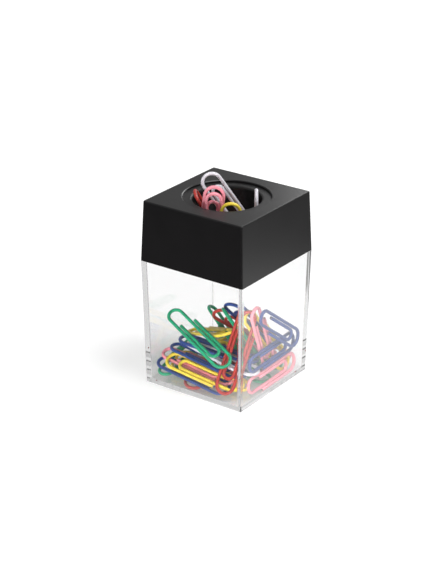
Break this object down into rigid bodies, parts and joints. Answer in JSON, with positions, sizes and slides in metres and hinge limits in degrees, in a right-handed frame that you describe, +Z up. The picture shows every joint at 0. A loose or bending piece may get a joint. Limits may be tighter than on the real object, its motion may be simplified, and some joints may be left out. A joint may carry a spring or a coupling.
{
  "type": "paper clip holder",
  "caption": "Square clear box of coloured wire paper clips under a black lift-off cap, whose ring magnet holds clips upright in a round throat.",
  "frame": {"origin": "middle of the container's underside", "axes": "+Z up through the throat, -Y the front left face in the picture, +X the front right face"},
  "size_m": [0.045, 0.045, 0.08],
  "materials": {
    "clear_polystyrene": "clear, polished mould",
    "black_abs": "satin",
    "black_abs_sleeve": "satin",
    "ferrite": "ground",
    "black_nylon": "matt",
    "yellow_coated_wire": "glossy coat on steel wire",
    "navy_coated_wire": "glossy coat on steel wire",
    "green_coated_wire": "glossy coat on steel wire",
    "red_coated_wire": "glossy coat on steel wire",
    "pink_coated_wire": "glossy coat on steel wire",
    "white_coated_wire": "glossy coat on steel wire"
  },
  "bodies": {
    "box": {"container": "clear_polystyrene", "green_clip_1": "green_coated_wire", "green_clip_2": "green_coated_wire", "green_clip_3": "green_coated_wire", "green_clip_4": "green_coated_wire", "green_clip_5": "green_coated_wire", "green_clip_6": "green_coated_wire", "green_clip_7": "green_coated_wire", "navy_clip_1": "navy_coated_wire", "navy_clip_2": "navy_coated_wire", "navy_clip_3": "navy_coated_wire", "navy_clip_4": "navy_coated_wire", "navy_clip_5": "navy_coated_wire", "navy_clip_6": "navy_coated_wire", "pink_clip_1": "pink_coated_wire", "pink_clip_2": "pink_coated_wire", "pink_clip_3": "pink_coated_wire", "pink_clip_4": "pink_coated_wire", "red_clip_1": "red_coated_wire", "red_clip_2": "red_coated_wire", "red_clip_3": "red_coated_wire", "red_clip_4": "red_coated_wire", "white_clip_1": "white_coated_wire", "white_clip_2": "white_coated_wire", "yellow_clip_1": "yellow_coated_wire", "yellow_clip_2": "yellow_coated_wire", "yellow_clip_3": "yellow_coated_wire", "yellow_clip_4": "yellow_coated_wire", "yellow_clip_5": "yellow_coated_wire"},
    "cap": {"cap_shell": "black_abs", "magnet_sleeve": "black_abs_sleeve", "ring_magnet": "ferrite", "magnet_retainer": "black_nylon"},
    "pulled_pink_clip_1": {"held_pink_clip_1": "pink_coated_wire"},
    "pulled_pink_clip_2": {"held_pink_clip_2": "pink_coated_wire"},
    "pulled_red_clip": {"held_red_clip": "red_coated_wire"},
    "pulled_white_clip_1": {"held_white_clip_1": "white_coated_wire"},
    "pulled_white_clip_2": {"held_white_clip_2": "white_coated_wire"},
    "pulled_yellow_clip": {"held_yellow_clip": "yellow_coated_wire"}
  },
  "joints": [
    {"name": "cap_lift", "type": "slide", "parent": "box", "child": "cap", "axis": [0, 0, 1], "range_m": [0, 0.03]},
    {"name": "pull_pink_clip_1", "type": "slide", "parent": "cap", "child": "pulled_pink_clip_1", "axis": [0.0986, 0.0716, 0.9925], "range_m": [0, 0.035]},
    {"name": "pull_pink_clip_2", "type": "slide", "parent": "cap", "child": "pulled_pink_clip_2", "axis": [0, 0, 1], "range_m": [0, 0.035]},
    {"name": "pull_red_clip", "type": "slide", "parent": "cap", "child": "pulled_red_clip", "axis": [-0.3798, -0.2759, 0.8829], "range_m": [0, 0.035]},
    {"name": "pull_white_clip_1", "type": "slide", "parent": "cap", "child": "pulled_white_clip_1", "axis": [-0.4524, -0.3287, 0.829], "range_m": [0, 0.035]},
    {"name": "pull_white_clip_2", "type": "slide", "parent": "cap", "child": "pulled_white_clip_2", "axis": [0, 0, 1], "range_m": [0, 0.035]},
    {"name": "pull_yellow_clip", "type": "slide", "parent": "cap", "child": "pulled_yellow_clip", "axis": [-0.0705, -0.0512, 0.9962], "range_m": [0, 0.035]}
  ]
}
